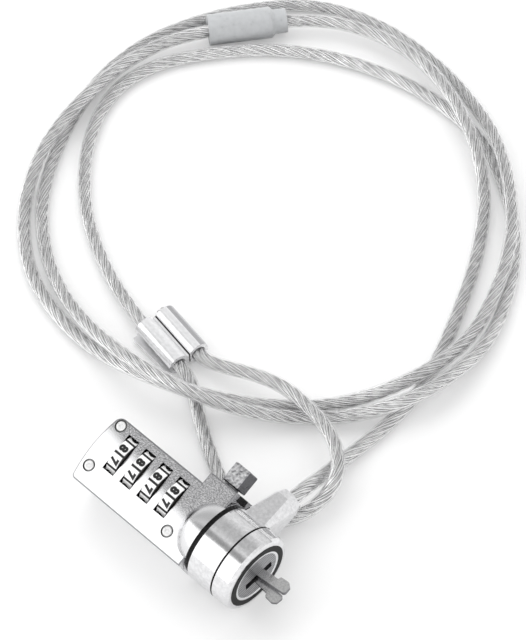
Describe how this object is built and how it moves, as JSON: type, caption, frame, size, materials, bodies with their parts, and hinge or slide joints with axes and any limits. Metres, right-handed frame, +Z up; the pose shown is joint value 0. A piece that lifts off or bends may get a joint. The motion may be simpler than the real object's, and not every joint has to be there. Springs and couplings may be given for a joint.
{
  "type": "laptop cable lock",
  "caption": "Combination cable lock for a laptop's security slot: dial head with swivel collar, sprung hooks worked by a sliding lever, and a coiled steel cable ending in a crimped ferrule.",
  "frame": {"origin": "on the table, under the middle of the lock head (the cable and its fittings left out)", "axes": "+X along the barrel, out of the nose the hooks stand in; +Y towards the cable's lug; +Z up from the table"},
  "size_m": [0.2105, 0.2286, 0.029],
  "materials": {
    "satin_zinc": "satin, finely mottled zinc casting",
    "chromed_zinc": "smooth bright plating",
    "turned_steel": "machined, fine parallel tool marks",
    "hook_steel": "blanked and tumbled steel",
    "dial_metal": "satin with black numerals",
    "sleeve_brass": "as turned",
    "lever_zinc": "textured casting",
    "rivet_steel": "polished head",
    "spring_steel": "bright spring steel",
    "pin_steel": "ground",
    "black_rubber": "matt",
    "black_nylon": "matt moulded",
    "coated_rope": "twisted steel wires under clear vinyl",
    "ferrule_aluminium": "crimped, bright",
    "clear_vinyl": "milky clear soft plastic"
  },
  "bodies": {
    "cable_set": {"swivel_collar": "chromed_zinc", "cable_end_stop": "pin_steel", "cable": "coated_rope", "cable_ferrule": "ferrule_aluminium", "cable_sleeve": "clear_vinyl"},
    "head": {"housing": "satin_zinc", "bottom_plate": "satin_zinc", "rivets": "rivet_steel", "front_ring": "chromed_zinc", "rubber_ring": "black_rubber", "front_disc": "turned_steel", "hook_carrier": "turned_steel", "hook_pivot_pin": "pin_steel", "collar_washer": "black_nylon", "slide_guide": "black_nylon", "slide_keeper": "black_nylon", "detent_spring": "spring_steel", "return_spring": "spring_steel"},
    "slider": {"slide_block": "satin_zinc", "lever_tab": "lever_zinc", "tab_pin": "pin_steel", "cam_fork": "pin_steel", "spindle": "pin_steel"},
    "upper_hook": {"hook_upper": "hook_steel"},
    "lower_hook": {"hook_lower": "hook_steel"},
    "dial_wheel_1": {"dial_1": "dial_metal", "code_sleeve_1": "sleeve_brass"},
    "dial_wheel_2": {"dial_2": "dial_metal", "code_sleeve_2": "sleeve_brass"},
    "dial_wheel_3": {"dial_3": "dial_metal", "code_sleeve_3": "sleeve_brass"},
    "dial_wheel_4": {"dial_4": "dial_metal", "code_sleeve_4": "sleeve_brass"}
  },
  "joints": [
    {"name": "head_swivel", "type": "hinge", "parent": "cable_set", "child": "head", "pos_m": [0.015, -0.0063, 0.014], "axis": [1, 0, 0], "range_deg": [-25, 180]},
    {"name": "lever_slide", "type": "slide", "parent": "head", "child": "slider", "axis": [1, 0, 0], "range_m": [0, 0.0034], "stiffness_N_per_m": 600, "springref_m": -0.004, "deforming": ["return_spring"]},
    {"name": "upper_hook_turn", "type": "hinge", "parent": "head", "child": "upper_hook", "pos_m": [0.0224, -0.0054, 0.013], "axis": [0, -0.0523, 0.9986], "range_deg": [-5.4, 0.1]},
    {"name": "lower_hook_turn", "type": "hinge", "parent": "head", "child": "lower_hook", "pos_m": [0.0224, -0.0054, 0.013], "axis": [0, -0.0523, 0.9986], "range_deg": [-0.1, 5.4]},
    {"name": "dial_1_turn", "type": "hinge", "parent": "head", "child": "dial_wheel_1", "pos_m": [-0.03, -0.00552, 0.01759], "axis": [1, 0, 0], "continuous": true},
    {"name": "dial_2_turn", "type": "hinge", "parent": "head", "child": "dial_wheel_2", "pos_m": [-0.02217, -0.00552, 0.01759], "axis": [1, 0, 0], "continuous": true},
    {"name": "dial_3_turn", "type": "hinge", "parent": "head", "child": "dial_wheel_3", "pos_m": [-0.01433, -0.00552, 0.01759], "axis": [1, 0, 0], "continuous": true},
    {"name": "dial_4_turn", "type": "hinge", "parent": "head", "child": "dial_wheel_4", "pos_m": [-0.0065, -0.00552, 0.01759], "axis": [1, 0, 0], "continuous": true}
  ],
  "couplings": [
    {"joint": "upper_hook_turn", "follows": "lever_slide", "rad_per_m": -27.207},
    {"joint": "lower_hook_turn", "follows": "lever_slide", "rad_per_m": 27.207}
  ]
}
